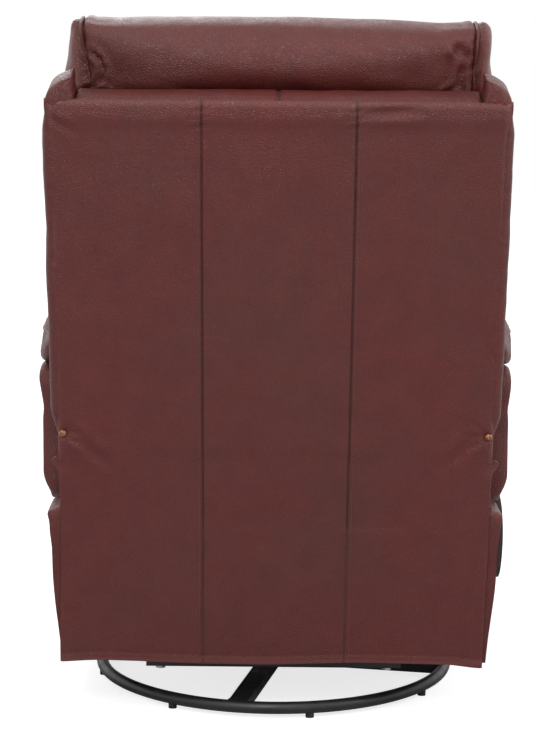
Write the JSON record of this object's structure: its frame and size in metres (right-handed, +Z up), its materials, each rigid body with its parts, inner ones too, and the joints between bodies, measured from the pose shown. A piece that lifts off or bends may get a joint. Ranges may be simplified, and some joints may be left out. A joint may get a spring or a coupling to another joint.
{
  "type": "swivel glider recliner",
  "caption": "Leather swivel glider recliner: a padded chair with an arm lever, a reclining back and a fold-out footrest, carried on glide links over a round floor ring.",
  "frame": {"origin": "on the floor at the middle of the part's box, which is the swivel axis", "axes": "+Z up, the sitter faces -Y, and the sitter's right, with the lever, is -X"},
  "size_m": [0.736, 0.9541, 1.0546],
  "materials": {
    "leather": "satin",
    "black_steel": "satin",
    "zinc_steel": "satin",
    "rubber": "matte",
    "timber": "matte",
    "felt": "matte",
    "nylon": "matte",
    "black_handle": "satin",
    "copper_nail": "polished"
  },
  "bodies": {
    "base": {"base_ring": "black_steel", "base_spokes": "black_steel", "base_hub_plate": "black_steel", "base_feet": "rubber", "bearing_lower_race": "zinc_steel", "bearing_balls": "zinc_steel", "kingpin": "zinc_steel"},
    "turntable": {"bearing_upper_race": "zinc_steel", "turntable_plate": "black_steel", "turntable_long_tubes": "black_steel", "turntable_cross_tubes": "black_steel", "glide_posts": "black_steel", "glide_upper_pins": "zinc_steel", "turntable_bolts": "zinc_steel"},
    "glide_front_pair": {"glide_front_links": "zinc_steel"},
    "glide_rear_pair": {"glide_rear_links": "zinc_steel"},
    "chassis": {"chassis_plates": "black_steel", "chassis_cross_tubes": "black_steel", "chassis_pins": "zinc_steel", "front_rail": "timber", "rear_rail": "timber", "arm_frames": "timber", "arm_inner_pads": "leather", "arm_side_panels": "leather", "arm_bolsters": "leather", "arm_pillows": "leather", "arm_front_panels": "leather", "chassis_bolts": "zinc_steel", "rear_flap": "leather", "lever_bushing": "nylon"},
    "seat": {"seat_plates": "black_steel", "seat_frame": "timber", "seat_springs": "zinc_steel", "seat_deck_pad": "felt", "seat_cushion": "leather", "seat_pins": "zinc_steel", "seat_shoes": "nylon"},
    "back": {"back_brackets": "black_steel", "back_stiles": "timber", "back_rails": "timber", "back_webbing": "felt", "back_outer_panel": "leather", "back_top_band": "leather", "back_wings": "leather", "back_lower_cushion": "leather", "back_upper_cushion": "leather", "head_pillow": "leather", "back_nails": "copper_nail"},
    "footrest_bar_a": {"footrest_link_a": "zinc_steel"},
    "footrest_bar_b": {"footrest_link_b": "zinc_steel"},
    "footrest_bar_c": {"footrest_link_c": "zinc_steel"},
    "footrest_bar_d": {"footrest_link_d": "zinc_steel"},
    "footrest_bar_e": {"footrest_link_e": "zinc_steel"},
    "footrest_bar_f": {"footrest_link_f": "zinc_steel"},
    "ottoman": {"footrest_brackets": "black_steel", "footrest_board": "timber", "footrest_pad": "leather"},
    "lever": {"lever_shaft": "zinc_steel", "lever_handle": "black_handle"}
  },
  "joints": [
    {"name": "swivel", "type": "hinge", "parent": "base", "child": "turntable", "pos_m": [0, 0, 0.038], "axis": [0, 0, 1], "continuous": true},
    {"name": "glide", "type": "hinge", "parent": "turntable", "child": "glide_front_pair", "pos_m": [0, -0.13, 0.2255], "axis": [1, 0, 0], "range_deg": [-18, 18]},
    {"name": "glide_rear", "type": "hinge", "parent": "turntable", "child": "glide_rear_pair", "pos_m": [0, 0.13, 0.2255], "axis": [1, 0, 0], "range_deg": [-18, 18]},
    {"name": "chassis_level", "type": "hinge", "parent": "glide_front_pair", "child": "chassis", "pos_m": [0, -0.13, 0.1055], "axis": [1, 0, 0], "range_deg": [-18, 18]},
    {"name": "recline", "type": "hinge", "parent": "seat", "child": "back", "pos_m": [0, 0.3, 0.2905], "axis": [-1, 0, 0], "range_deg": [0, 32]},
    {"name": "seat_slide", "type": "slide", "parent": "chassis", "child": "seat", "axis": [0, -0.9848, 0.1736], "range_m": [0, 0.055]},
    {"name": "footrest_extend", "type": "hinge", "parent": "seat", "child": "footrest_bar_c", "pos_m": [0, -0.28703, 0.2455], "axis": [-1, 0, 0], "range_deg": [0, 52]},
    {"name": "footrest_a_fold", "type": "hinge", "parent": "seat", "child": "footrest_bar_a", "pos_m": [0, -0.28703, 0.2455], "axis": [1, 0, 0], "range_deg": [0, 52]},
    {"name": "footrest_b_fold", "type": "hinge", "parent": "footrest_bar_a", "child": "footrest_bar_b", "pos_m": [0, -0.29104, 0.36043], "axis": [-1, 0, 0], "range_deg": [0, 104]},
    {"name": "footrest_d_fold", "type": "hinge", "parent": "footrest_bar_c", "child": "footrest_bar_d", "pos_m": [0, -0.31485, 0.13392], "axis": [1, 0, 0], "range_deg": [0, 104]},
    {"name": "footrest_e_fold", "type": "hinge", "parent": "footrest_bar_d", "child": "footrest_bar_e", "pos_m": [0, -0.32288, 0.36378], "axis": [-1, 0, 0], "range_deg": [0, 104]},
    {"name": "footrest_f_fold", "type": "hinge", "parent": "footrest_bar_b", "child": "footrest_bar_f", "pos_m": [0, -0.34669, 0.13726], "axis": [1, 0, 0], "range_deg": [0, 104]},
    {"name": "footrest_turn", "type": "hinge", "parent": "footrest_bar_e", "child": "ottoman", "pos_m": [0, -0.3507, 0.25219], "axis": [-1, 0, 0], "range_deg": [0, 32]},
    {"name": "lever_pull", "type": "hinge", "parent": "chassis", "child": "lever", "pos_m": [-0.28, 0.08, 0.1975], "axis": [-1, 0, 0], "range_deg": [0, 55]}
  ],
  "couplings": [
    {"joint": "glide_rear", "follows": "glide", "ratio": 1},
    {"joint": "chassis_level", "follows": "glide", "ratio": -1},
    {"joint": "seat_slide", "follows": "recline", "m_per_rad": 0.0984},
    {"joint": "footrest_a_fold", "follows": "footrest_extend", "ratio": 1},
    {"joint": "footrest_b_fold", "follows": "footrest_extend", "ratio": 2},
    {"joint": "footrest_d_fold", "follows": "footrest_extend", "ratio": 2},
    {"joint": "footrest_e_fold", "follows": "footrest_extend", "ratio": 2},
    {"joint": "footrest_f_fold", "follows": "footrest_extend", "ratio": 2},
    {"joint": "footrest_turn", "follows": "footrest_extend", "ratio": 0.61538},
    {"joint": "lever_pull", "follows": "footrest_extend", "ratio": 1.0577}
  ]
}
